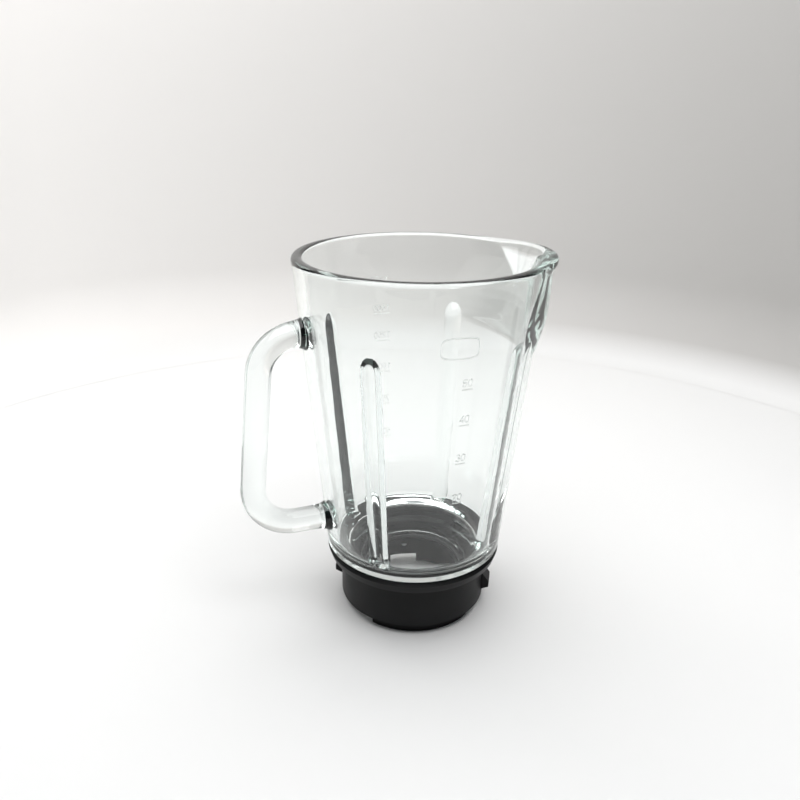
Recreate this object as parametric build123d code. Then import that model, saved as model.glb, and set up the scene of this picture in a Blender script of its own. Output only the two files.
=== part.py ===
"""Glass jug assembly of a countertop blender: jug, handle, screw-on collar, seals and blade lock ring.

Frame: origin at the bottom centre of the feet, +Z up, spout towards +X, handle towards -X. Millimetres.
"""
from build123d import *
import math
import os

# Glass jug: a straight cone with an even wall, an integral spout and four inner ribs.
RIM_RADIUS = 77.7
RIM_TOP = 243.5
RIM_ROUND = 2.6
SHOULDER_RADIUS = 58.8
SHOULDER_BOTTOM = 47.2
WALL = 6.8
FLOOR_HEEL = 59.0
NECK_RADIUS = 43.4
NECK_BOTTOM = 28.0
THROAT_RADIUS = 34.0
THROAT_TOP = 34.0
FLOOR_STEP_RADIUS = 41.0
FLOOR_STEP_HEIGHT = 45.0

# Spout: a rounded belly under a thicker lip, given as height and reach of level circles of one radius.
SPOUT_RADIUS = 54.0
SPOUT_LEVELS = ((186.0, 71.5), (209.0, 83.5), (235.0, 84.5), (236.5, 88.0), (RIM_TOP, 88.0))

# Pouring channel: an oblique cone from a point on the inner wall to the lip.
CHANNEL_ROOT_HEIGHT = 219.0
CHANNEL_ROOT_RADIUS = 1.0
CHANNEL_ROOT_REACH = 68.0
CHANNEL_LIP_RADIUS = 30.4
CHANNEL_LIP_REACH = 82.2

# Inner ribs: round-nosed bars on the wall that stir the contents back to the blades.
RIB_ANGLES = (45, 135, 225, 315)
RIB_RADIUS = 6.2
RIB_TOP = 193.5
RIB_FOOT = 44.0
RIB_DEPTH_TOP = 5.6
RIB_DEPTH_FOOT = 8.4

# Handle: a solid round glass bar in the XZ plane, flared where it fuses with the wall.
BAR_RADIUS = 7.9
BAR_UPPER_HEIGHT = 200.5
BAR_LOWER_HEIGHT = 74.9
BAR_UPPER_REACH = 99.4
BAR_LOWER_REACH = 111.4
BAR_UPPER_BEND = 25.0
BAR_LOWER_BEND = 26.0
FLARE_RADIUS = 10.3
FLARE_LENGTH = 9.0

# Screw thread between the neck and the collar.
THREAD_PITCH = 8.0
THREAD_DEPTH = 2.4
THREAD_LAND = 1.6
THREAD_ROOT = 3.4
THREAD_START = 31.0
THREAD_RUN = 8.0
THREAD_EMBED = 0.8

# Collar: flange under the glass shoulder, plain barrel, inner shelf with the blade port, two drive lugs.
FLANGE_RADIUS = 58.8
FLANGE_TOP = 46.9
FLANGE_BOTTOM = 39.1
FLANGE_CHAMFER = 2.4
FLANGE_FOOT_RADIUS = 57.0
BARREL_RADIUS = 49.7
BARREL_BOTTOM = 7.6
BARREL_BORE = 47.0
SHELF_TOP = 26.0
SHELF_BOTTOM = 22.0
PORT_RADIUS = 32.0
LUG_ANGLES = (-31.0, 149.0)
LUG_REACH = 54.5
LUG_TOP = 27.0
LUG_BOTTOM = 12.5
LUG_SPREAD = 12.0
LUG_SLOPE = 7.5
LUG_FOOT_RISE = 2.5

# Seals.
JUG_SEAL_INNER = 33.2
JUG_SEAL_OUTER = 43.4
PORT_SEAL_INNER = 33.2
PORT_SEAL_OUTER = 35.6
PORT_SEAL_DEPTH = 1.8
PORT_GROOVE_DEPTH = 1.0

# Lock ring: turns under the shelf to hold the blade unit, and its three skirt segments are the feet.
LOCK_OUTER = 44.8
LOCK_WALL = 3.0
LOCK_TOP = 21.7
LOCK_WEB = 3.0
LOCK_WEB_INNER = 36.2
CLAW_INNER = 33.4
CLAW_SPREAD = 24.0
CLAW_THICKNESS = 2.0
SKIRT_BOTTOM = 6.4
FOOT_ANGLES = (-102.0, 18.0, 138.0)
FOOT_SPREAD = 92.0
LOCK_TRAVEL = 30.0

# Shoulder screws that carry the lock ring in arc slots.
SCREW_ANGLES = (-42.0, 78.0, 198.0)
SCREW_CIRCLE = 39.2
SCREW_SHANK_RADIUS = 1.5
SCREW_HEAD_RADIUS = 2.3
SCREW_HEAD_HEIGHT = 2.0
SCREW_BITE = 3.0
SLOT_CLEARANCE = 0.25
RUNNING_GAP = 0.3
OVERRUN = 5.0
EMBED = 1.0


def wall_radius(height):
    """Outer radius of the glass cone at a height."""
    rise = (height - SHOULDER_BOTTOM) / (RIM_TOP - SHOULDER_BOTTOM)
    return SHOULDER_RADIUS + rise * (RIM_RADIUS - SHOULDER_RADIUS)


def ring(outer, inner, low, high):
    """Plain ring about Z between two heights."""
    blank = Cylinder(outer, high - low, align=(Align.CENTER, Align.CENTER, Align.MIN))
    hole = Cylinder(inner, high - low + 2 * OVERRUN)
    return Pos(0, 0, low) * blank - Pos(0, 0, (low + high) / 2) * hole


def sector(radius, low, high, middle, spread):
    """Solid pie slice about Z, used to cut or keep part of a ring."""
    start = middle - spread / 2
    arm = Line((0, 0), (radius * math.cos(math.radians(start)), radius * math.sin(math.radians(start))))
    arc = CenterArc((0, 0), radius, start, spread)
    face = make_face([arm, arc, Line(arc @ 1, (0, 0))])
    return Pos(0, 0, low) * extrude(face, high - low, dir=(0, 0, 1))


def turned(points):
    """Solid of revolution about Z from a closed outline of radius and height pairs."""
    outline = Plane.XZ * Polyline(*points, close=True)
    return revolve(make_face(outline), Axis.Z)


def oblique_cone(low, high, low_radius, high_radius, low_offset, high_offset):
    """Cone between two level circles whose centres are offset along X."""
    bottom = Pos(low_offset, 0, low) * Circle(low_radius)
    top = Pos(high_offset, 0, high) * Circle(high_radius)
    return loft([bottom, top], ruled=True)


def spout():
    """Outer shape of the spout, which leaves the wall at its lowest level."""
    levels = [Pos(reach - SPOUT_RADIUS, 0, height) * Circle(SPOUT_RADIUS) for height, reach in SPOUT_LEVELS]
    return loft(levels, ruled=True)


def pouring_channel():
    """Conical channel that is cut through the wall up to the lip."""
    return oblique_cone(
        CHANNEL_ROOT_HEIGHT,
        RIM_TOP,
        CHANNEL_ROOT_RADIUS,
        CHANNEL_LIP_RADIUS,
        CHANNEL_ROOT_REACH - CHANNEL_ROOT_RADIUS,
        CHANNEL_LIP_REACH - CHANNEL_LIP_RADIUS,
    )


def rib():
    """One inner rib along +X: a leaning round bar with a domed top."""
    foot = wall_radius(RIB_FOOT) - WALL - RIB_DEPTH_FOOT + RIB_RADIUS
    top = wall_radius(RIB_TOP) - WALL - RIB_DEPTH_TOP + RIB_RADIUS
    bar = oblique_cone(RIB_FOOT, RIB_TOP, RIB_RADIUS, RIB_RADIUS, foot, top)
    return bar + Pos(top, 0, RIB_TOP) * Sphere(RIB_RADIUS)


def jug_cavity():
    """Inside of the jug: cone, funnel floor, throat and pouring channel, less the ribs."""
    heel = wall_radius(FLOOR_HEEL) - WALL
    mouth = RIM_RADIUS - WALL
    hollow = turned(
        [
            (0, NECK_BOTTOM - OVERRUN),
            (THROAT_RADIUS, NECK_BOTTOM - OVERRUN),
            (THROAT_RADIUS, THROAT_TOP),
            (FLOOR_STEP_RADIUS, FLOOR_STEP_HEIGHT),
            (heel - WALL / 2, FLOOR_HEEL - WALL / 2),
            (heel, FLOOR_HEEL + WALL / 2),
            (mouth, RIM_TOP),
            (mouth, RIM_TOP + OVERRUN),
            (0, RIM_TOP + OVERRUN),
        ]
    )
    hollow = hollow + pouring_channel()
    for angle in RIB_ANGLES:
        hollow = hollow - Rot(0, 0, angle) * rib()
    return hollow


def thread(radius, outward, start):
    """One helical thread on a neck or in a bore, standing out or in from the given radius."""
    sign = 1 if outward else -1
    path = Helix(THREAD_PITCH, THREAD_RUN, radius, center=(0, 0, start))
    embed = -sign * THREAD_EMBED
    crest = sign * THREAD_DEPTH
    corners = [
        (embed, -THREAD_ROOT / 2),
        (crest, -THREAD_LAND / 2),
        (crest, THREAD_LAND / 2),
        (embed, THREAD_ROOT / 2),
    ]
    section = Plane((radius, 0, start), x_dir=(1, 0, 0), z_dir=(0, -1, 0)) * make_face(
        Polyline(*corners, close=True)
    )
    return sweep(section, path=path, is_frenet=True)


def glass_jug():
    """Jug body with rounded rim, spout, ribs and threaded neck."""
    body = turned(
        [
            (0, NECK_BOTTOM),
            (NECK_RADIUS, NECK_BOTTOM),
            (NECK_RADIUS, SHOULDER_BOTTOM),
            (SHOULDER_RADIUS, SHOULDER_BOTTOM),
            (RIM_RADIUS, RIM_TOP),
            (0, RIM_TOP),
        ]
    )
    body = body + spout()
    body = body + thread(NECK_RADIUS, True, THREAD_START)
    jug = body - jug_cavity()
    rim = jug.faces().sort_by(Axis.Z)[-1]
    return fillet(rim.edges(), RIM_ROUND)


def bar_path():
    """Centre line of the handle from the upper joint to the lower one."""
    points = [
        (-wall_radius(BAR_UPPER_HEIGHT) + WALL / 2, 0, BAR_UPPER_HEIGHT),
        (-BAR_UPPER_REACH, 0, BAR_UPPER_HEIGHT),
        (-BAR_LOWER_REACH, 0, BAR_LOWER_HEIGHT),
        (-wall_radius(BAR_LOWER_HEIGHT) + WALL / 2, 0, BAR_LOWER_HEIGHT),
    ]
    return FilletPolyline(*points, radius=[BAR_UPPER_BEND, BAR_LOWER_BEND])


def flare(height):
    """Trumpet end of the bar where it meets the wall."""
    wall = wall_radius(height)
    cone = Cone(FLARE_RADIUS, BAR_RADIUS, FLARE_LENGTH, align=(Align.CENTER, Align.CENTER, Align.MIN))
    return Pos(-wall, 0, height) * Rot(0, -90, 0) * cone


def glass_handle():
    """Handle bar, cut back to the outer face of the jug wall."""
    path = bar_path()
    section = Plane(path @ 0, z_dir=path % 0) * Circle(BAR_RADIUS)
    bar = sweep(section, path=path)
    bar = bar + flare(BAR_UPPER_HEIGHT) + flare(BAR_LOWER_HEIGHT)
    cone = turned([(0, 0), (wall_radius(0), 0), (wall_radius(RIM_TOP), RIM_TOP), (0, RIM_TOP)])
    return bar - cone


def lug():
    """One bayonet lug along +X with a sloping lead-in at its foot."""
    side = Plane.XZ * make_face(
        Polyline(
            (BARREL_RADIUS - EMBED, LUG_BOTTOM),
            (LUG_REACH, LUG_BOTTOM + LUG_FOOT_RISE),
            (LUG_REACH, LUG_TOP - LUG_SLOPE),
            (BARREL_RADIUS - EMBED, LUG_TOP),
            close=True,
        )
    )
    return extrude(side, LUG_SPREAD / 2, both=True)


def base_collar():
    """Black collar: flange, barrel, shelf with the blade port, inner thread and two lugs."""
    shell = turned(
        [
            (BARREL_BORE, BARREL_BOTTOM),
            (BARREL_RADIUS, BARREL_BOTTOM),
            (BARREL_RADIUS, FLANGE_BOTTOM),
            (FLANGE_FOOT_RADIUS, FLANGE_BOTTOM),
            (FLANGE_RADIUS, FLANGE_TOP - FLANGE_CHAMFER),
            (FLANGE_RADIUS - FLANGE_CHAMFER, FLANGE_TOP),
            (BARREL_BORE, FLANGE_TOP),
        ]
    )
    shelf = ring(BARREL_RADIUS - EMBED, PORT_RADIUS, SHELF_BOTTOM, SHELF_TOP)
    groove = ring(PORT_SEAL_OUTER, PORT_SEAL_INNER, SHELF_BOTTOM - OVERRUN, SHELF_BOTTOM + PORT_GROOVE_DEPTH)
    collar = shell + shelf - groove
    collar = collar + thread(BARREL_BORE, False, THREAD_START + THREAD_PITCH / 2)
    for angle in LUG_ANGLES:
        collar = collar + Rot(0, 0, angle) * lug()
    for angle in SCREW_ANGLES:
        hole = Cylinder(SCREW_SHANK_RADIUS, SCREW_BITE, align=(Align.CENTER, Align.CENTER, Align.MIN))
        collar = collar - Rot(0, 0, angle) * Pos(SCREW_CIRCLE, 0, SHELF_BOTTOM) * hole
    return collar


def jug_seal():
    """Flat silicone ring between the neck's lip and the collar's shelf."""
    return ring(JUG_SEAL_OUTER, JUG_SEAL_INNER, SHELF_TOP, NECK_BOTTOM)


def port_seal():
    """Square-section ring in the groove round the port, which the blade unit presses on."""
    low = SHELF_BOTTOM + PORT_GROOVE_DEPTH - PORT_SEAL_DEPTH
    return ring(PORT_SEAL_OUTER, PORT_SEAL_INNER, low, SHELF_BOTTOM + PORT_GROOVE_DEPTH)


def arc_slot():
    """Arc slot along +X that lets a shoulder screw travel with the lock ring's turn."""
    half_width = SCREW_SHANK_RADIUS + SLOT_CLEARANCE
    low = LOCK_TOP - LOCK_WEB - EMBED
    high = LOCK_TOP + EMBED
    band = ring(SCREW_CIRCLE + half_width, SCREW_CIRCLE - half_width, low, high)
    slot = band & sector(LOCK_OUTER, low, high, -LOCK_TRAVEL / 2, LOCK_TRAVEL)
    for angle in (0, -LOCK_TRAVEL):
        end = Cylinder(half_width, high - low, align=(Align.CENTER, Align.CENTER, Align.MIN))
        slot = slot + Rot(0, 0, angle) * Pos(SCREW_CIRCLE, 0, low) * end
    return slot


def lock_ring():
    """Turning ring with three claws for the blade unit and three skirt feet."""
    skirt = ring(LOCK_OUTER, LOCK_OUTER - LOCK_WALL, 0, LOCK_TOP)
    for angle in FOOT_ANGLES:
        gap_middle = angle + 180 / len(FOOT_ANGLES)
        gap_spread = 360 / len(FOOT_ANGLES) - FOOT_SPREAD
        skirt = skirt - sector(LOCK_OUTER + EMBED, -EMBED, SKIRT_BOTTOM, gap_middle, gap_spread)
    web = ring(LOCK_OUTER - LOCK_WALL / 2, LOCK_WEB_INNER, LOCK_TOP - LOCK_WEB, LOCK_TOP)
    body = skirt + web
    claw_high = LOCK_TOP - LOCK_WEB + CLAW_THICKNESS
    claws = ring(LOCK_WEB_INNER + EMBED, CLAW_INNER, LOCK_TOP - LOCK_WEB, claw_high)
    for angle in FOOT_ANGLES:
        body = body + (claws & sector(LOCK_OUTER, 0, LOCK_TOP, angle, CLAW_SPREAD))
    for angle in SCREW_ANGLES:
        body = body - Rot(0, 0, angle) * arc_slot()
    return body


def shoulder_screw():
    """Shoulder screw along Z: head under the lock ring's web, shank up into the shelf."""
    head_top = LOCK_TOP - LOCK_WEB - RUNNING_GAP
    shank_top = SHELF_BOTTOM + SCREW_BITE
    shank = Cylinder(SCREW_SHANK_RADIUS, shank_top - head_top, align=(Align.CENTER, Align.CENTER, Align.MIN))
    head = Cylinder(SCREW_HEAD_RADIUS, SCREW_HEAD_HEIGHT, align=(Align.CENTER, Align.CENTER, Align.MAX))
    return Pos(0, 0, head_top) * (shank + head)


def ring_screws():
    """The shoulder screws as one group of separate solids."""
    screws = [Rot(0, 0, angle) * Pos(SCREW_CIRCLE, 0, 0) * shoulder_screw() for angle in SCREW_ANGLES]
    return Compound(children=screws)


PARTS = {
    "glass_jug": glass_jug,
    "glass_handle": glass_handle,
    "jug_seal": jug_seal,
    "base_collar": base_collar,
    "port_seal": port_seal,
    "lock_ring": lock_ring,
    "ring_screws": ring_screws,
}

os.makedirs("parts", exist_ok=True)
for name, build in PARTS.items():
    export_step(build(), f"parts/{name}.step")
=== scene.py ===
"""Looks of the glass blender jug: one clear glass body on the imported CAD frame, black collar and studio."""
import math

import bmesh
import bpy
import numpy as np
from mathutils import Matrix, Vector


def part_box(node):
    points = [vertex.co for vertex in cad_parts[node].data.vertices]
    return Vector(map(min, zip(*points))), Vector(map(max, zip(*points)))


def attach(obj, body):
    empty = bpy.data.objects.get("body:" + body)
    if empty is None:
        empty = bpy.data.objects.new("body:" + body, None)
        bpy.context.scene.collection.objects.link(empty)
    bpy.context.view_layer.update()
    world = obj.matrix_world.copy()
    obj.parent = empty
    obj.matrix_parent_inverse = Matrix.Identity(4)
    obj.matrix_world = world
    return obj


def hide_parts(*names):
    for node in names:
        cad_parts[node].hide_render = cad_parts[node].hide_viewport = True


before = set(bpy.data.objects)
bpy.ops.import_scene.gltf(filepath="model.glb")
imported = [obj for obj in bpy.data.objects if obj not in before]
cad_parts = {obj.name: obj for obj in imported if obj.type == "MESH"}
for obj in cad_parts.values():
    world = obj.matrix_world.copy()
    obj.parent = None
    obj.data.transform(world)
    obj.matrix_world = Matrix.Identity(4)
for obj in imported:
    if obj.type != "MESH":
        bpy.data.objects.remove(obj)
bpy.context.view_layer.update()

MM = 0.001

# Places taken from the frame, in metres.
JUG_LOW, JUG_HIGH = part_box("glass_jug")
FILLET_INSET = 0.25 * MM
SEAT_GAP = 0.3 * MM
RIM_TOP = JUG_HIGH.z
RIM_RADIUS = JUG_HIGH.y + FILLET_INSET
NECK_BOTTOM = JUG_LOW.z
SHOULDER_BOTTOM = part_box("base_collar")[1].z + SEAT_GAP

# Glass wall, shoulder and neck.
WALL = 6.8 * MM
SHOULDER_RADIUS = 58.8 * MM
CORNER_ROUND = 2.2 * MM
NECK_RADIUS = 43.4 * MM
NECK_ROOT_ROUND = 1.5 * MM
NECK_EDGE_ROUND = 1.0 * MM
OUTER_ROWS = 150

# Rim: a squared half round.
RIM_ROUND = 2.9 * MM
RIM_STEPS = 17
RIM_SQUARENESS = 0.75

# Floor: heel, ledge, funnel, step and throat.
HEEL_HEIGHT = 55.0 * MM
HEEL_ROUND = 3.0 * MM
HEEL_SINK = 1.0 * MM
HEEL_TURN = -72
LEDGE_RADIUS = 46.0 * MM
LEDGE_HEIGHT = 51.5 * MM
FLOOR_STEP_RADIUS = 41.0 * MM
FLOOR_STEP_HEIGHT = 45.0 * MM
THROAT_RADIUS = 34.0 * MM
THROAT_TOP = 34.0 * MM

# Inner wall, as spans of rows: top, bottom and count. Rows lie closer together at the channel and rib tops.
INNER_SPANS = (
    (RIM_TOP - RIM_ROUND, 208 * MM, 44),
    (206 * MM, 190 * MM, 24),
    (187 * MM, HEEL_HEIGHT + HEEL_ROUND, 60),
)

# Spout: rounded belly of level circles under the lip (height and reach), and a conical channel inside.
SPOUT_RADIUS = 54.0 * MM
SPOUT_HEIGHTS = np.array([180, 186, 190, 196, 203, 210, 220, 232, 235.2, 237.4, 239.5, 243.5]) * MM
SPOUT_REACHES = np.array([66, 71.5, 75.2, 79.4, 82.4, 83.7, 84.2, 84.5, 85.3, 87.3, 88.0, 88.0]) * MM
SPOUT_BLEND_HEIGHTS = np.array([180, 190, 230]) * MM
SPOUT_BLENDS = np.array([0.5, 9, 3]) * MM
CHANNEL_ROOT_HEIGHT = 219.0 * MM
CHANNEL_ROOT_RADIUS = 1.0 * MM
CHANNEL_ROOT_REACH = 68.0 * MM
CHANNEL_LIP_RADIUS = 30.4 * MM
CHANNEL_LIP_REACH = 82.2 * MM
CHANNEL_BLEND = 1.0 * MM

# Ribs on the inner wall.
RIB_ANGLES = (45, 135, 225, 315)
RIB_HALF_WIDTH = 6.2 * MM
RIB_DEPTH_TOP = 5.6 * MM
RIB_DEPTH_FOOT = 8.4 * MM
RIB_TOP = 188.6 * MM
RIB_DOME = 9.7 * MM
RIB_FOOT = 44.0 * MM
RIB_FULLNESS = 0.78

# Steps round the jug, in degrees: half width of each finer stretch, and its step.
RIB_STRETCH, RIB_STEP = 7.5, 0.3
SPOUT_STRETCH, SPOUT_STEP = 36, 0.35
PLAIN_STEP = 1.1

# Handle bar, in the plane y = 0 on the -X side.
BAR_RADIUS = 7.9 * MM
BAR_SIDES = 64
UPPER_HEIGHT = 200.5 * MM
LOWER_HEIGHT = 74.9 * MM
UPPER_REACH = 99.4 * MM
LOWER_REACH = 111.4 * MM
UPPER_BEND = 25.0 * MM
LOWER_BEND = 26.0 * MM
FLARE_RISE = 2.4 * MM
FLARE_LENGTH = 2.6 * MM
RUN_POINTS = 14
BEND_POINTS = 19

# Raised marks: number and the height of its graduation line, in millimetres.
FRONT_MARKS = (("20", 106.6), ("30", 133.9), ("40", 159.3), ("50", 181.9))
BACK_MARKS = (
    ("500", 97.0), ("750", 122.0), ("1000", 146.0),
    ("1250", 169.0), ("1500", 188.0), ("1750", 207.0),
)
FRONT_TURN = -89.5
BACK_TURN = 90.0
DIGIT_HEIGHT = 4.3 * MM
DIGIT_WIDTH = 0.6
DIGIT_PITCH = 0.78
DIGIT_LIFT = 0.45
STROKE_RADIUS = 0.42 * MM
STROKE_SIDES = 8
STROKE_FULLNESS = 0.8
STROKE_CLEARANCE = 0.02 * MM

# Badge: a plain frame.
BADGE_HEIGHT = 207.0 * MM
BADGE_SHIFT = -6.0 * MM
BADGE_WIDTH = 22.0 * MM
BADGE_DEPTH = 12.0 * MM
BADGE_SQUARENESS = 0.5
BADGE_POINTS = 65

# Glass.
GLASS_COLOUR = (0.995, 1.0, 0.998, 1)
GLASS_IOR = 1.5
GLASS_TINT = (0.66, 0.82, 0.77, 1)
GLASS_DENSITY = 10.0

# Other materials: base colour, roughness range, specular level and metallic.
PLASTICS = {
    "black_plastic": ((0.006, 0.006, 0.0065), (0.38, 0.5), 0.18, 0),
    "ring_plastic": ((0.005, 0.005, 0.0055), (0.5, 0.65), 0.15, 0),
    "seal_silicone": ((0.10, 0.10, 0.105), (0.55, 0.7), 0.3, 0),
    "screw_steel": ((0.6, 0.6, 0.61), (0.25, 0.4), 0.5, 1),
}
NODE_MATERIALS = {
    "base_collar": "black_plastic",
    "lock_ring": "ring_plastic",
    "jug_seal": "seal_silicone",
    "port_seal": "seal_silicone",
    "ring_screws": "screw_steel",
}

# Camera: heading round the jug, distance and height, aim and lens.
CAMERA_TURN = math.radians(22.5)
CAMERA_DISTANCE = 0.46799
CAMERA_HEIGHT = 0.33753
CAMERA_PITCH = math.radians(22.048)
CAMERA_YAW = math.radians(-1.291)
CAMERA_ROLL = math.radians(0.861)
CAMERA_LENS = 34.985
CAMERA_SENSOR = 36
CAMERA_NEAR = 0.01

# Stage: wide floor with a curved backdrop behind the jug.
FLOOR_REACH = 3.0
FLOOR_SIDES = 96
COVE_START = 0.555
COVE_RADIUS = 0.10
COVE_POINTS = 20
BACKDROP_TOP = 1.1
BACKDROP_HALF_ANGLE = 62
BACKDROP_COLUMNS = 64
BACKDROP_LIFT = 0.2 * MM
TABLE_WHITE = (0.81, 0.81, 0.805)
# Wall tones: painted light at the left and painted shade towards the right, a lit and a shaded copy of the
# same paper.
WALL_LIT_LEFT = (0.92, 0.901, 0.882)
WALL_SHADED_RIGHT = (0.49, 0.481, 0.468)
WALL_SHADE_SPREAD = (-0.45, 0.45)
WALL_BLEND = (0.004, 0.03)

# Lights as the camera sees them: place, aim, size, watts, and whether glossy surfaces show their shape.
LIGHTS = {
    "top_box": ((0, -0.05, 1.2), (0, 0, 0.1), (1.5, 1.5), 19.5, True),
    "key_box": ((0.25, -0.35, 0.95), (0, 0, 0.15), (0.3, 0.3), 1.0, False),
    "left_panel": ((-0.95, 0.1, 0.75), (0, 0.2, 0.1), (0.3, 0.7), 0.8, True),
    "wall_wash": ((-0.5, 0.3, 0.9), (-0.35, 0.72, 0.3), (0.5, 0.2), 0.9, False),
}
ROOM_COLOUR = (0.9, 0.95, 1.0, 1)
ROOM_STRENGTH = 0.13
LIGHT_BOUNCES = 24
GLOSSY_BOUNCES = 8


# Surfaces of the glass, as radius over angle and height.
def wall_radius(z):
    """Outer radius of the plain glass cone at a height, metres."""
    rise = (z - SHOULDER_BOTTOM) / (RIM_TOP - SHOULDER_BOTTOM)
    return SHOULDER_RADIUS + rise * (RIM_RADIUS - SHOULDER_RADIUS)


def smooth_max(a, b, blend):
    """Larger of two fields, with a rounded join where they differ by less than blend."""
    closeness = np.maximum(blend - np.abs(a - b), 0) / blend
    return np.maximum(a, b) + closeness ** 2 * blend / 4


def circle_reach(angle, centre, radius):
    """Polar radius of a circle centred on the spout axis, or 0 where the ray misses it."""
    reach = radius ** 2 - (centre * np.sin(angle)) ** 2
    hit = (reach > 0) & (radius > 0) & (np.cos(angle) > 0)
    return np.where(hit, centre * np.cos(angle) + np.sqrt(np.maximum(reach, 0)), 0.0)


def outer_radius(angle, z):
    """Outer glass surface of wall and spout."""
    wall = wall_radius(z) + 0 * angle
    reach = np.interp(z, SPOUT_HEIGHTS, SPOUT_REACHES)
    spout = circle_reach(angle, reach - SPOUT_RADIUS, SPOUT_RADIUS)
    fillet = np.interp(z, SPOUT_BLEND_HEIGHTS, SPOUT_BLENDS)
    return np.where(z > SPOUT_HEIGHTS[0], smooth_max(wall, spout, fillet), wall)


def rib_depth(angle, z):
    """How far the ribs stand in from the inner wall."""
    total = np.zeros(np.broadcast(angle, z).shape)
    along = np.clip((z - RIB_FOOT) / (RIB_TOP - RIB_FOOT), 0, 1)
    depth = RIB_DEPTH_FOOT + along * (RIB_DEPTH_TOP - RIB_DEPTH_FOOT)
    for degrees in RIB_ANGLES:
        turn = (angle - math.radians(degrees) + math.pi) % (2 * math.pi) - math.pi
        across = turn * (wall_radius(z) - WALL) / RIB_HALF_WIDTH
        beyond = np.maximum(z - RIB_TOP, 0) / RIB_DOME
        hump = np.clip(1 - across ** 2 - beyond ** 2, 0, 1) ** RIB_FULLNESS
        total = np.maximum(total, depth * hump)
    return total


def inner_radius(angle, z):
    """Inner glass surface of wall, pouring channel and ribs."""
    wall = wall_radius(z) - WALL + 0 * angle
    rise = (z - CHANNEL_ROOT_HEIGHT) / (RIM_TOP - CHANNEL_ROOT_HEIGHT)
    radius = CHANNEL_ROOT_RADIUS + rise * (CHANNEL_LIP_RADIUS - CHANNEL_ROOT_RADIUS)
    reach = CHANNEL_ROOT_REACH + rise * (CHANNEL_LIP_REACH - CHANNEL_ROOT_REACH)
    channel = circle_reach(angle, reach - radius, radius)
    return np.where(rise > 0, smooth_max(wall, channel, CHANNEL_BLEND), wall) - rib_depth(angle, z)


def angle_steps():
    """Angles round the jug, closer together at the ribs and the spout."""
    def step(a):
        near_rib = min(abs((a - r + 180) % 360 - 180) for r in RIB_ANGLES)
        near_spout = abs((a + 180) % 360 - 180)
        if near_rib < RIB_STRETCH:
            return RIB_STEP
        return SPOUT_STEP if near_spout < SPOUT_STRETCH else PLAIN_STEP
    angles = []
    a = 0.0
    while a < 360 - RIB_STEP / 2:
        angles.append(a)
        a += step(a)
    return np.radians(np.array(angles))


def arc(centre, radius, start, end, count):
    """Points on an arc in the radius-height plane, angles in degrees."""
    turns = np.radians(np.linspace(start, end, count))
    return [(centre[0] + radius * math.cos(t), centre[1] + radius * math.sin(t)) for t in turns]


# The glass body is one closed skin. Each row is a pair of arrays over the angles: radius and height.
def ring(angles, r, z):
    """A row at one height, with a radius that is one number or one per angle."""
    return r + 0 * angles, z + 0 * angles


def neck_and_shoulder():
    """Radius-height points up the neck, out under the shoulder and round its corner."""
    edge, root, corner = NECK_EDGE_ROUND, NECK_ROOT_ROUND, CORNER_ROUND
    points = arc((NECK_RADIUS - edge, NECK_BOTTOM + edge), edge, -90, 0, 4)
    for z in np.linspace(NECK_BOTTOM + 3 * edge, SHOULDER_BOTTOM - 2 * edge, 6):
        points.append((NECK_RADIUS, z))
    points += arc((NECK_RADIUS + root, SHOULDER_BOTTOM - root), root, 180, 90, 4)
    for r in np.linspace(NECK_RADIUS + 2 * root, SHOULDER_RADIUS - corner - edge, 5):
        points.append((r, SHOULDER_BOTTOM))
    height = SHOULDER_BOTTOM + corner
    points += arc((wall_radius(height) - corner, height), corner, -90, -5, 8)
    return points


def rim_rows(angles):
    """Rows over the rim, from the outer wall to the inner."""
    level = ring(angles, 0, RIM_TOP - RIM_ROUND)[1]
    out, inn = outer_radius(angles, level), inner_radius(angles, level)
    middle, reach = (out + inn) / 2, (out - inn) / 2
    rows = []
    for t in np.radians(np.linspace(0, 180, RIM_STEPS))[1:-1]:
        across = math.copysign(abs(math.cos(t)) ** RIM_SQUARENESS, math.cos(t))
        lift = math.sin(t) ** RIM_SQUARENESS
        rows.append((middle + reach * across, level + RIM_ROUND * lift))
    return rows


def heel_rows(angles):
    """Rows round the heel and in over the ledge, where the ribs fade out."""
    centre = (wall_radius(HEEL_HEIGHT) - WALL - HEEL_ROUND, HEEL_HEIGHT + HEEL_ROUND - HEEL_SINK)
    bend = arc(centre, HEEL_ROUND, -4, HEEL_TURN, 9)
    rows = [ring(angles, r - rib_depth(angles, z), z) for r, z in bend]
    foot_r, foot_z = bend[-1]
    for f in np.linspace(0, 1, 7)[1:]:
        r = foot_r + f * (LEDGE_RADIUS - foot_r)
        z = foot_z + f * (LEDGE_HEIGHT - foot_z)
        rows.append(ring(angles, r - rib_depth(angles, z) * (1 - f), z))
    return rows


def funnel_and_throat():
    """Radius-height points down the funnel and the throat, and out under the neck."""
    points = []
    corners = (
        (LEDGE_RADIUS, LEDGE_HEIGHT),
        (FLOOR_STEP_RADIUS, FLOOR_STEP_HEIGHT),
        (THROAT_RADIUS, THROAT_TOP),
    )
    for (r0, z0), (r1, z1) in zip(corners, corners[1:]):
        for f in np.linspace(0, 1, 6)[1:]:
            points.append((r0 + f * (r1 - r0), z0 + f * (z1 - z0)))
    edge = NECK_EDGE_ROUND
    points.append((THROAT_RADIUS, THROAT_TOP - 2 * edge))
    points += arc((THROAT_RADIUS + edge, NECK_BOTTOM + edge), edge, 180, 270, 4)
    for r in np.linspace(THROAT_RADIUS + 2.5 * edge, NECK_RADIUS - 2.5 * edge, 4):
        points.append((r, NECK_BOTTOM))
    return points


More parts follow.
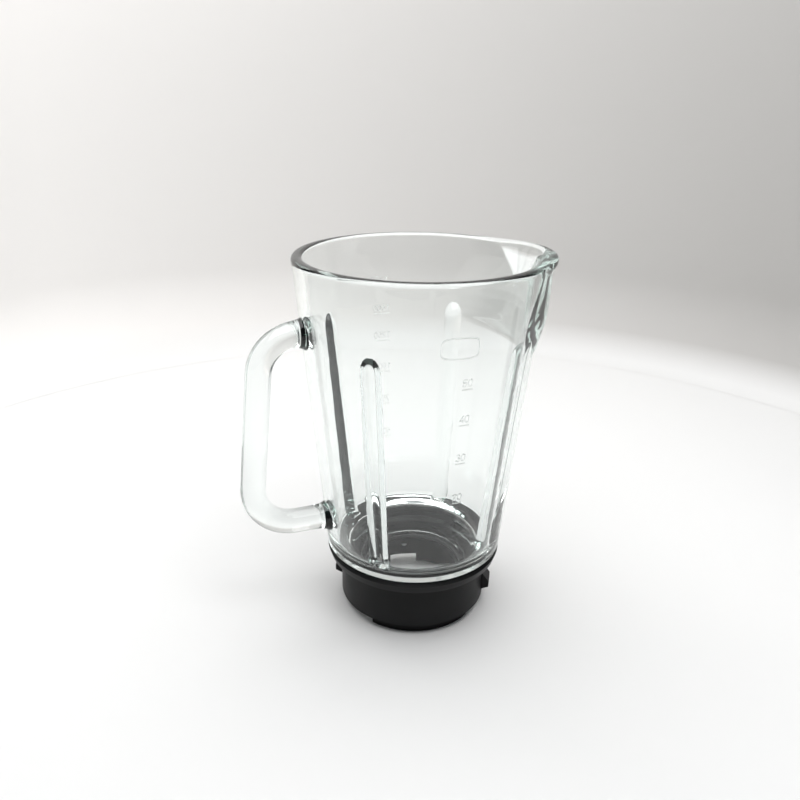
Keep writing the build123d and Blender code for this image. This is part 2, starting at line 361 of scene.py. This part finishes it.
def glass_body():
    """The jug as one closed surface: neck, shoulder, outer wall, rim, inner wall with ribs, floor, throat."""
    angles = angle_steps()
    rows = [ring(angles, r, z) for r, z in neck_and_shoulder()]
    wall_start = SHOULDER_BOTTOM + CORNER_ROUND + 0.8 * MM
    for z in np.linspace(wall_start, RIM_TOP - RIM_ROUND, OUTER_ROWS):
        rows.append(ring(angles, outer_radius(angles, z), z))
    rows += rim_rows(angles)
    for top, bottom, count in INNER_SPANS:
        for z in np.linspace(top, bottom, count):
            rows.append(ring(angles, inner_radius(angles, z), z))
    rows += heel_rows(angles)
    rows += [ring(angles, r, z) for r, z in funnel_and_throat()]

    radius = np.array([r for r, _ in rows])
    height = np.array([z for _, z in rows])
    points = np.stack([radius * np.cos(angles), radius * np.sin(angles), height], -1).reshape(-1, 3)
    count, around = len(rows), len(angles)
    faces = []
    for i in range(count):
        here, above = i * around, (i + 1) % count * around
        for j in range(around):
            k = (j + 1) % around
            faces.append((here + j, here + k, above + k, above + j))
    return make_mesh("glass_body", points, faces)


def make_mesh(name, points, faces):
    """Mesh object from points and faces."""
    mesh = bpy.data.meshes.new(name)
    mesh.from_pydata([tuple(p) for p in points], [], faces)
    mesh.update()
    piece = bpy.data.objects.new(name, mesh)
    bpy.context.scene.collection.objects.link(piece)
    return piece


def tube_faces(first, rings, sides):
    """Faces of a closed tube whose rings of points start at an index."""
    faces = []
    for i in range(rings - 1):
        for k in range(sides):
            a, b = first + i * sides + k, first + i * sides + (k + 1) % sides
            faces.append((a, b, b + sides, a + sides))
    last = first + (rings - 1) * sides
    faces.append(tuple(range(first, first + sides))[::-1])
    faces.append(tuple(range(last, last + sides)))
    return faces


def straight(path, end):
    """Adds a straight run of points to a path."""
    start = path[-1].copy()
    path.extend(start + (end - start) * f for f in np.linspace(0, 1, RUN_POINTS)[1:])


def bar_path():
    """Centre line of the handle as radius-height points, with round bends."""
    start = Vector((wall_radius(UPPER_HEIGHT) - WALL / 2, UPPER_HEIGHT))
    upper = Vector((UPPER_REACH, UPPER_HEIGHT))
    lower = Vector((LOWER_REACH, LOWER_HEIGHT))
    end = Vector((wall_radius(LOWER_HEIGHT) - WALL / 2, LOWER_HEIGHT))
    path = [start]
    for before, here, after, bend in ((start, upper, lower, UPPER_BEND), (upper, lower, end, LOWER_BEND)):
        u, v = (before - here).normalized(), (after - here).normalized()
        half = u.angle(v) / 2
        cut = bend / math.tan(half)
        centre = here + (u + v).normalized() * (bend / math.sin(half))
        straight(path, here + u * cut)
        first, last = here + u * cut - centre, here + v * cut - centre
        sweep = first.angle(last)
        sign = 1 if first.x * last.y - first.y * last.x > 0 else -1
        for f in np.linspace(0, 1, BEND_POINTS)[1:]:
            path.append(centre + Matrix.Rotation(sign * sweep * f, 2) @ first)
    straight(path, end)
    return path


def handle_tube():
    """Solid bar swept along the path, flared where it meets the wall."""
    path = bar_path()
    lengths = [0.0]
    for a, b in zip(path, path[1:]):
        lengths.append(lengths[-1] + (b - a).length)
    points = []
    for i, here in enumerate(path):
        ahead = (path[min(i + 1, len(path) - 1)] - path[max(i - 1, 0)]).normalized()
        side = Vector((-ahead.y, ahead.x))
        from_wall = min(lengths[i], lengths[-1] - lengths[i]) - WALL / 2
        radius = BAR_RADIUS + FLARE_RISE * math.exp(-max(from_wall, 0) / FLARE_LENGTH)
        for k in range(BAR_SIDES):
            t = 2 * math.pi * k / BAR_SIDES
            planar = here + side * (radius * math.cos(t))
            points.append((-planar.x, radius * math.sin(t), planar.y))
    return make_mesh("handle_tube", points, tube_faces(0, len(path), BAR_SIDES))


# Raised marks: strokes in a box one unit high, as lists of points.
def loop(cx, cy, rx, ry, start, end, count=14):
    """Points along part of an ellipse, angles in degrees."""
    turns = np.radians(np.linspace(start, end, count))
    return [(cx + rx * math.cos(t), cy + ry * math.sin(t)) for t in turns]


STROKES = {
    "0": [loop(0.3, 0.5, 0.28, 0.48, 90, 450, 25)],
    "1": [[(0.12, 0.8), (0.32, 0.98), (0.32, 0.02)]],
    "2": [loop(0.3, 0.72, 0.26, 0.26, 160, -30, 12) + [(0.05, 0.03), (0.56, 0.03)]],
    "3": [loop(0.28, 0.74, 0.24, 0.24, 150, -90, 12) + loop(0.28, 0.26, 0.28, 0.24, 90, -150, 14)],
    "4": [[(0.46, 0.02), (0.46, 0.98), (0.04, 0.3), (0.6, 0.3)]],
    "5": [[(0.54, 0.97), (0.12, 0.97), (0.08, 0.55)] + loop(0.27, 0.31, 0.27, 0.29, 130, -150, 14)],
    "7": [[(0.05, 0.97), (0.56, 0.97), (0.22, 0.02)]],
}


def number_strokes(text, height):
    """Strokes of a number above its graduation line, as arc length and height in metres."""
    width = (len(text) - 1) * DIGIT_PITCH + DIGIT_WIDTH
    lines = []
    for place, digit in enumerate(text):
        left = place * DIGIT_PITCH - width / 2
        low = height + DIGIT_LIFT * DIGIT_HEIGHT
        for stroke in STROKES[digit]:
            lines.append([((left + x) * DIGIT_HEIGHT, low + y * DIGIT_HEIGHT) for x, y in stroke])
    reach = width / 2 * DIGIT_HEIGHT
    lines.append([(-reach, height), (reach, height)])
    return lines


def scale_strokes(marks):
    """Strokes of all the numbers of one scale."""
    return [line for text, height in marks for line in number_strokes(text, height * MM)]


def badge_strokes():
    """Generic badge: one plain frame, an oblong with rounded corners, and nothing in it."""
    line = []
    for t in np.radians(np.linspace(0, 360, BADGE_POINTS)):
        across = math.copysign(abs(math.cos(t)) ** BADGE_SQUARENESS, math.cos(t))
        up = math.copysign(abs(math.sin(t)) ** BADGE_SQUARENESS, math.sin(t))
        line.append((BADGE_SHIFT + BADGE_WIDTH / 2 * across, BADGE_HEIGHT + BADGE_DEPTH / 2 * up))
    return [line]


def relief(name, lines, middle):
    """Rounded raised lines just proud of the outer wall, about a middle angle in degrees."""
    points, faces = [], []
    for line in lines:
        flat = [Vector(p) for p in line]
        faces += tube_faces(len(points), len(flat), STROKE_SIDES)
        for i, here in enumerate(flat):
            ahead = (flat[min(i + 1, len(flat) - 1)] - flat[max(i - 1, 0)]).normalized()
            across = Vector((-ahead.y, ahead.x))
            for k in range(STROKE_SIDES):
                t = 2 * math.pi * k / STROKE_SIDES
                spot = here + across * (STROKE_RADIUS * math.cos(t))
                proud = STROKE_CLEARANCE + STROKE_RADIUS * (1 + math.sin(t)) * STROKE_FULLNESS
                radius = wall_radius(spot.y) + proud
                turn = math.radians(middle) + spot.x / wall_radius(spot.y)
                points.append((radius * math.cos(turn), radius * math.sin(turn), spot.y))
    piece = make_mesh(name, points, faces)
    outward(piece)
    return piece


def outward(piece):
    """Makes every face of a closed mesh point out."""
    bm = bmesh.new()
    bm.from_mesh(piece.data)
    bmesh.ops.recalc_face_normals(bm, faces=bm.faces)
    bm.to_mesh(piece.data)
    bm.free()


def unite(body, other):
    """Boolean union of two closed meshes, applied to the first."""
    outward(body)
    outward(other)
    join = body.modifiers.new("join", "BOOLEAN")
    join.operation = "UNION"
    join.solver = "EXACT"
    join.object = other
    graph = bpy.context.evaluated_depsgraph_get()
    joined = bpy.data.meshes.new_from_object(body.evaluated_get(graph))
    body.modifiers.clear()
    body.data = joined
    bpy.data.objects.remove(other)


def smooth(piece, degrees=40):
    """Smooth shading, with edges sharper than an angle kept crisp."""
    for polygon in piece.data.polygons:
        polygon.use_smooth = True
    bm = bmesh.new()
    bm.from_mesh(piece.data)
    limit = math.radians(degrees)
    for edge in bm.edges:
        edge.smooth = len(edge.link_faces) == 2 and edge.calc_face_angle(0) < limit
    bm.to_mesh(piece.data)
    bm.free()


# Materials.
def node_material(name):
    """New node material, with its tree and its Principled shader."""
    material = bpy.data.materials.new(name)
    material.use_nodes = True
    tree = material.node_tree
    return material, tree, tree.nodes["Principled BSDF"]


def noise(tree, scale, detail=3.0):
    """Noise texture on object coordinates."""
    coordinates = tree.nodes.new("ShaderNodeTexCoord")
    texture = tree.nodes.new("ShaderNodeTexNoise")
    texture.inputs["Scale"].default_value = scale
    texture.inputs["Detail"].default_value = detail
    tree.links.new(coordinates.outputs["Object"], texture.inputs["Vector"])
    return texture.outputs["Fac"]


def ranged(tree, value, low, high, start=0.0, end=1.0):
    """Maps a value range to another."""
    node = tree.nodes.new("ShaderNodeMapRange")
    node.inputs["From Min"].default_value = start
    node.inputs["From Max"].default_value = end
    node.inputs["To Min"].default_value = low
    node.inputs["To Max"].default_value = high
    tree.links.new(value, node.inputs["Value"])
    return node.outputs["Result"]


def bump(tree, value, strength, distance):
    """Bump from a height value."""
    node = tree.nodes.new("ShaderNodeBump")
    node.inputs["Strength"].default_value = strength
    node.inputs["Distance"].default_value = distance
    tree.links.new(value, node.inputs["Height"])
    return node.outputs["Normal"]


def mixed(tree, low, high, factor):
    """Mixes two colours by a factor. A colour is three numbers, or a socket for the high one."""
    node = tree.nodes.new("ShaderNodeMix")
    node.data_type = "RGBA"
    tree.links.new(factor, node.inputs["Factor"])
    node.inputs["A"].default_value = (*low, 1)
    if isinstance(high, bpy.types.NodeSocket):
        tree.links.new(high, node.inputs["B"])
    else:
        node.inputs["B"].default_value = (*high, 1)
    return node.outputs["Result"]


def glass_material():
    """Clear pressed glass: faint waves, near-polished surface and a green-grey tint in depth."""
    material, tree, shader = node_material("clear_glass")
    shader.inputs["Base Color"].default_value = GLASS_COLOUR
    shader.inputs["Transmission Weight"].default_value = 1.0
    shader.inputs["IOR"].default_value = GLASS_IOR
    tree.links.new(ranged(tree, noise(tree, 60), 0.0, 0.03, 0.45, 0.8), shader.inputs["Roughness"])
    waves = bump(tree, noise(tree, 45, 2.0), 0.10, 0.4 * MM)
    tree.links.new(waves, shader.inputs["Normal"])
    absorption = tree.nodes.new("ShaderNodeVolumeAbsorption")
    absorption.inputs["Color"].default_value = GLASS_TINT
    absorption.inputs["Density"].default_value = GLASS_DENSITY
    tree.links.new(absorption.outputs["Volume"], tree.nodes["Material Output"].inputs["Volume"])
    return material


def plastic_material(name, base, roughness, specular, metallic):
    """Satin moulded surface with a fine spark texture and slight changes of tone and sheen."""
    material, tree, shader = node_material(name)
    dark, light = [c * 0.85 for c in base], [c * 1.2 for c in base]
    tree.links.new(mixed(tree, dark, light, noise(tree, 90, 4.0)), shader.inputs["Base Color"])
    tree.links.new(ranged(tree, noise(tree, 35), *roughness, 0.3, 0.7), shader.inputs["Roughness"])
    shader.inputs["Specular IOR Level"].default_value = specular
    shader.inputs["Metallic"].default_value = metallic
    grain = bump(tree, noise(tree, 2600, 2.0), 0.25, 0.05 * MM)
    tree.links.new(grain, shader.inputs["Normal"])
    return material


def paper_material():
    """White table that turns to a pale grey wall above the cove, with painted shade darkening the wall
    towards the right.
    """
    material, tree, shader = node_material("stage_paper")
    shader.inputs["Roughness"].default_value = 0.9
    shader.inputs["Specular IOR Level"].default_value = 0.1
    coordinates = tree.nodes.new("ShaderNodeTexCoord")
    turned = tree.nodes.new("ShaderNodeVectorRotate")
    turned.rotation_type = "Z_AXIS"
    turned.inputs["Angle"].default_value = CAMERA_TURN
    tree.links.new(coordinates.outputs["Object"], turned.inputs["Vector"])
    split = tree.nodes.new("ShaderNodeSeparateXYZ")
    tree.links.new(turned.outputs["Vector"], split.inputs["Vector"])
    # Painted shade: the wall colour goes from the lit left tone to the shaded right tone across the view.
    wall = mixed(tree, WALL_LIT_LEFT, WALL_SHADED_RIGHT, ranged(tree, split.outputs["X"], 0, 1, *WALL_SHADE_SPREAD))
    paper = mixed(tree, TABLE_WHITE, wall, ranged(tree, split.outputs["Z"], 0, 1, *WALL_BLEND))
    tree.links.new(paper, shader.inputs["Base Color"])
    return material


def paint(piece, material):
    """One material on a whole piece."""
    piece.data.materials.clear()
    piece.data.materials.append(material)


# Stage, lights and camera.
def stage_backdrop():
    """Pale floor disc, and a backdrop that curves up behind the jug as the camera sees it."""
    points, faces = [(0, 0, 0)], []
    for k in range(FLOOR_SIDES):
        t = 2 * math.pi * k / FLOOR_SIDES
        points.append((FLOOR_REACH * math.cos(t), FLOOR_REACH * math.sin(t), 0))
        faces.append((0, 1 + k, 1 + (k + 1) % FLOOR_SIDES))
    profile = arc((COVE_START, COVE_RADIUS), COVE_RADIUS, -90, 0, COVE_POINTS)
    profile.append((COVE_START + COVE_RADIUS, BACKDROP_TOP))
    middle = math.radians(90) - CAMERA_TURN
    turns = np.radians(np.linspace(-BACKDROP_HALF_ANGLE, BACKDROP_HALF_ANGLE, BACKDROP_COLUMNS)) + middle
    first = len(points)
    for r, z in profile:
        points += [(r * math.cos(t), r * math.sin(t), z + BACKDROP_LIFT) for t in turns]
    for i in range(len(profile) - 1):
        for k in range(BACKDROP_COLUMNS - 1):
            a = first + i * BACKDROP_COLUMNS + k
            faces.append((a, a + BACKDROP_COLUMNS, a + BACKDROP_COLUMNS + 1, a + 1))
    paper = make_mesh("stage_paper", points, faces)
    paint(paper, paper_material())
    smooth(paper, 60)


def rig_turn():
    """Rotation from the camera's own heading to the part frame."""
    return Matrix.Rotation(-CAMERA_TURN, 3, "Z")


def area_light(name, place, target, size, power, reflected):
    """Soft rectangular light aimed at a point."""
    data = bpy.data.lights.new(name, "AREA")
    data.shape = "RECTANGLE"
    data.size, data.size_y = size
    data.energy = power
    lamp = bpy.data.objects.new(name, data)
    lamp.location = place
    lamp.rotation_euler = (target - place).to_track_quat("-Z", "Y").to_euler()
    lamp.visible_camera = False
    lamp.visible_glossy = reflected
    bpy.context.scene.collection.objects.link(lamp)


def studio():
    """Overhead softbox, three smaller lights and a dim room, turned with the camera."""
    turn = rig_turn()
    for name, (place, target, size, power, reflected) in LIGHTS.items():
        area_light(name, turn @ Vector(place), turn @ Vector(target), size, power, reflected)
    world = bpy.data.worlds.new("room")
    world.use_nodes = True
    background = world.node_tree.nodes["Background"]
    background.inputs["Color"].default_value = ROOM_COLOUR
    background.inputs["Strength"].default_value = ROOM_STRENGTH
    bpy.context.scene.world = world


def camera():
    """Camera in front of the jug, a little above it."""
    data = bpy.data.cameras.new("camera")
    data.lens = CAMERA_LENS
    data.sensor_width = CAMERA_SENSOR
    data.clip_start = CAMERA_NEAR
    eye = bpy.data.objects.new("camera", data)
    forward = Vector((
        math.sin(CAMERA_YAW) * math.cos(CAMERA_PITCH),
        math.cos(CAMERA_YAW) * math.cos(CAMERA_PITCH),
        -math.sin(CAMERA_PITCH),
    ))
    right = Vector((math.cos(CAMERA_YAW), -math.sin(CAMERA_YAW), 0))
    up = right.cross(forward)
    rolled_right = right * math.cos(CAMERA_ROLL) + up * math.sin(CAMERA_ROLL)
    rolled_up = up * math.cos(CAMERA_ROLL) - right * math.sin(CAMERA_ROLL)
    turn = rig_turn()
    axes = Matrix([turn @ rolled_right, turn @ rolled_up, turn @ -forward]).transposed()
    place = turn @ Vector((0, -CAMERA_DISTANCE, CAMERA_HEIGHT))
    eye.matrix_world = Matrix.Translation(place) @ axes.to_4x4()
    bpy.context.scene.collection.objects.link(eye)
    bpy.context.scene.camera = eye


def render_depth():
    """Light paths long enough for two glass walls, and plain display of tones."""
    scene = bpy.context.scene
    scene.cycles.max_bounces = LIGHT_BOUNCES
    scene.cycles.transmission_bounces = LIGHT_BOUNCES
    scene.cycles.glossy_bounces = GLOSSY_BOUNCES
    scene.view_settings.view_transform = "Standard"


camera()
glass = glass_material()
body = glass_body()
unite(body, handle_tube())
smooth(body)
paint(body, glass)
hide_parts("glass_jug", "glass_handle")
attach(body, "jug")

RELIEFS = (
    ("ounce_marks", scale_strokes(FRONT_MARKS), FRONT_TURN),
    ("millilitre_marks", scale_strokes(BACK_MARKS), BACK_TURN),
    ("badge", badge_strokes(), FRONT_TURN),
)
for name, lines, middle in RELIEFS:
    marks = relief(name, lines, middle)
    smooth(marks, 60)
    paint(marks, glass)
    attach(marks, "jug")

plastics = {name: plastic_material(name, *look) for name, look in PLASTICS.items()}
for node, name in NODE_MATERIALS.items():
    paint(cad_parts[node], plastics[name])

stage_backdrop()
studio()
render_depth()
